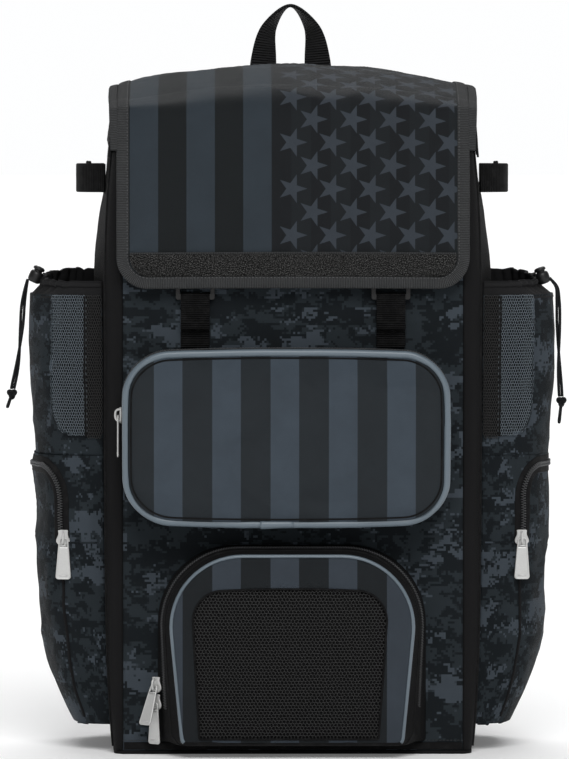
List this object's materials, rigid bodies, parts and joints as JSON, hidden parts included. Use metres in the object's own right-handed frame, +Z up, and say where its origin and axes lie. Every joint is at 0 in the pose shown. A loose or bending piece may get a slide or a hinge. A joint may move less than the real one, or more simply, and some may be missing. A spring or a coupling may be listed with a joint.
{
  "type": "baseball bat backpack",
  "caption": "Tall baseball backpack with a hooded lid, front pockets, side bat sleeves with drawcords and zipped side pockets, standing on its base.",
  "frame": {"origin": "middle of the underside of the base panel, where the bag stands", "axes": "+Z up, the front towards -Y, +X to the right as seen from the front"},
  "size_m": [0.4996, 0.3416, 0.6645],
  "materials": {
    "black_fabric": "coated polyester, matte black",
    "camo_fabric": null,
    "printed_fabric": "coated polyester printed with plain stripes and stars",
    "binding_tape": "ribbed dark grey binding tape",
    "fleece": "black loop fleece",
    "webbing": "ribbed black webbing",
    "piping": "slate grey piping",
    "mesh": "open black mesh",
    "zip_metal": "satin nickel",
    "plastic": "moulded black acetal",
    "cord": "braided black cord"
  },
  "bodies": {
    "root": {"back_panel": "black_fabric", "base_panel": "black_fabric", "upper_pocket_wall": "black_fabric", "lower_pocket_wall": "black_fabric", "gusset_left": "black_fabric", "gusset_right": "black_fabric", "ear_left": "black_fabric", "ear_right": "black_fabric", "sleeve_collar_left": "black_fabric", "sleeve_collar_right": "black_fabric", "shoulder_strap_left": "black_fabric", "shoulder_strap_right": "black_fabric", "front_panel": "camo_fabric", "sleeve_left": "camo_fabric", "sleeve_right": "camo_fabric", "side_pocket_left": "camo_fabric", "side_pocket_right": "camo_fabric", "side_pocket_door_left": "camo_fabric", "side_pocket_door_right": "camo_fabric", "lid": "printed_fabric", "upper_pocket_face": "printed_fabric", "lower_pocket_face": "printed_fabric", "lid_binding": "binding_tape", "ear_binding_left": "binding_tape", "ear_binding_right": "binding_tape", "lid_loop_strip": "fleece", "top_handle": "webbing", "lid_strap_left": "webbing", "lid_strap_right": "webbing", "bat_strap_left": "webbing", "bat_strap_right": "webbing", "strap_webbing_left": "webbing", "strap_webbing_right": "webbing", "upper_pocket_piping": "piping", "lower_pocket_piping": "piping", "lower_pocket_mesh": "mesh", "sleeve_mesh_left": "mesh", "sleeve_mesh_right": "mesh", "upper_pocket_slider": "zip_metal", "lower_pocket_a_slider": "zip_metal", "lower_pocket_b_slider": "zip_metal", "side_pocket_left_slider": "zip_metal", "side_pocket_right_slider": "zip_metal", "buckle_left": "plastic", "buckle_right": "plastic", "strap_adjuster_left": "plastic", "strap_adjuster_right": "plastic", "cord_lock_left": "plastic", "cord_lock_right": "plastic", "drawcord_left_a": "cord", "drawcord_left_b": "cord", "drawcord_right_a": "cord", "drawcord_right_b": "cord", "cord_knot_left": "cord", "cord_knot_right": "cord"},
    "pull_side_left": {"side_pocket_left_pull": "zip_metal"},
    "pull_side_right": {"side_pocket_right_pull": "zip_metal"},
    "pull_upper": {"upper_pocket_pull": "zip_metal"},
    "pull_lower_a": {"lower_pocket_a_pull": "zip_metal"},
    "pull_lower_b": {"lower_pocket_b_pull": "zip_metal"}
  },
  "joints": [
    {"name": "pull_side_left_swing", "type": "hinge", "parent": "root", "child": "pull_side_left", "pos_m": [-0.203, -0.08675, 0.189], "axis": [-1, 0, 0], "range_deg": [0, 150]},
    {"name": "pull_side_right_swing", "type": "hinge", "parent": "root", "child": "pull_side_right", "pos_m": [0.203, -0.08675, 0.189], "axis": [-1, 0, 0], "range_deg": [0, 150]},
    {"name": "pull_upper_swing", "type": "hinge", "parent": "root", "child": "pull_upper", "pos_m": [-0.15365, -0.13975, 0.3], "axis": [0, 1, 0], "range_deg": [0, 150]},
    {"name": "pull_lower_a_swing", "type": "hinge", "parent": "root", "child": "pull_lower_a", "pos_m": [-0.12224, -0.12776, 0.062], "axis": [-0.7431, 0.6691, 0], "range_deg": [0, 130]},
    {"name": "pull_lower_b_swing", "type": "hinge", "parent": "root", "child": "pull_lower_b", "pos_m": [-0.12224, -0.12776, 0.0466], "axis": [-0.7431, 0.6691, 0], "range_deg": [0, 130]}
  ],
  "couplings": [
    {"joint": "pull_lower_b_swing", "follows": "pull_lower_a_swing", "ratio": 1}
  ]
}
